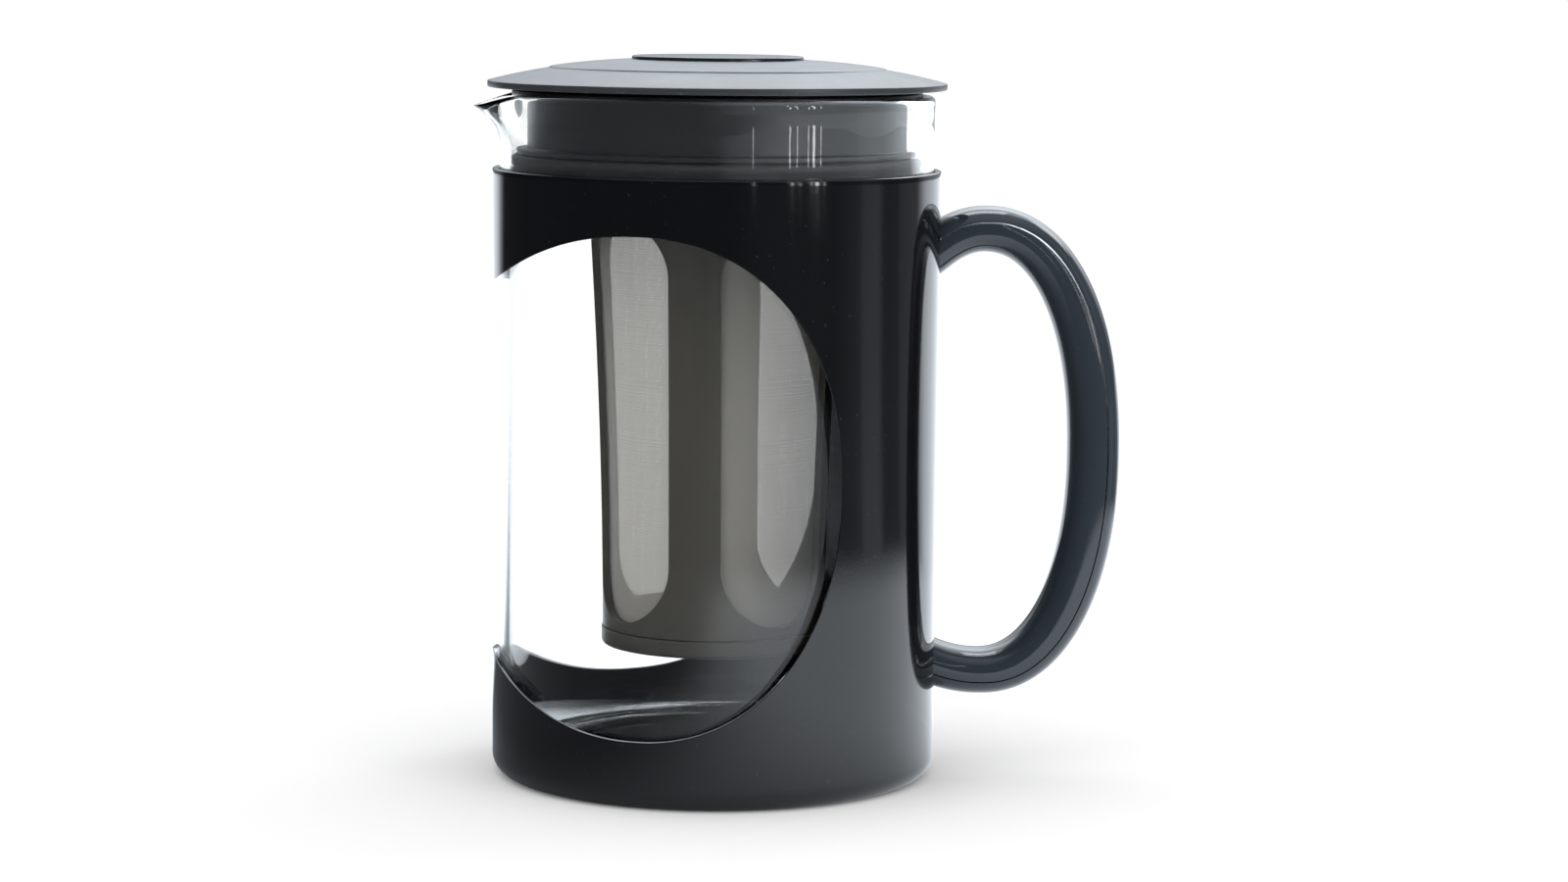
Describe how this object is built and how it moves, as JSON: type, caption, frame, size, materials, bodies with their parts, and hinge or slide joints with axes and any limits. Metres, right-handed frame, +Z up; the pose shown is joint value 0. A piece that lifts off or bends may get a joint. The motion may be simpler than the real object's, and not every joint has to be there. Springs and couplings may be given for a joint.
{
  "type": "infusion carafe",
  "caption": "Glass jug in a moulded sleeve with a bow handle, a plug lid with a rotating pour gap, and a hanging mesh filter basket with a turn-off end cap.",
  "frame": {"origin": "centre of the sleeve's flat underside, on the jug's axis", "axes": "+Z up along the jug's axis, +X from the axis towards the handle, +Y completes the right-handed frame; the pouring lip is at -X"},
  "size_m": [0.1748, 0.1226, 0.1934],
  "materials": {
    "sleeve_plastic": "high-gloss black moulded plastic with a faint navy cast",
    "handle_plastic": "high-gloss dark navy moulded plastic",
    "carafe_glass": "clear borosilicate glass, fire-polished rim",
    "basket_plastic": "semi-gloss black moulded plastic",
    "filter_mesh": "very fine beige-grey nylon filter mesh",
    "lid_plastic": "satin dark grey moulded plastic",
    "lid_disc_plastic": "satin dark grey moulded plastic, slightly darker",
    "plug_plastic": "semi-gloss black moulded plastic",
    "seal_silicone": "matt black silicone"
  },
  "bodies": {
    "holder": {"sleeve": "sleeve_plastic", "handle_grip": "handle_plastic", "handle_cover": "handle_plastic"},
    "carafe": {"glass_carafe": "carafe_glass"},
    "basket": {"filter_frame": "basket_plastic", "filter_mesh": "filter_mesh"},
    "lid": {"lid_dome": "lid_plastic", "lid_disc": "lid_disc_plastic", "lid_plug": "plug_plastic", "lid_seal": "seal_silicone"},
    "end_cap": {"filter_end_cap": "basket_plastic"}
  },
  "joints": [
    {"name": "carafe_lift", "type": "slide", "parent": "holder", "child": "carafe", "axis": [0, 0, 1], "range_m": [0, 0.17]},
    {"name": "basket_lift", "type": "slide", "parent": "carafe", "child": "basket", "axis": [0, 0, 1], "range_m": [0, 0.165]},
    {"name": "lid_turn", "type": "hinge", "parent": "basket", "child": "lid", "pos_m": [0, 0, 0.17], "axis": [0, 0, 1], "continuous": true},
    {"name": "end_cap_turn", "type": "hinge", "parent": "basket", "child": "end_cap", "pos_m": [0, 0, 0.0376], "axis": [0, 0, 1], "range_deg": [0, 60]}
  ]
}
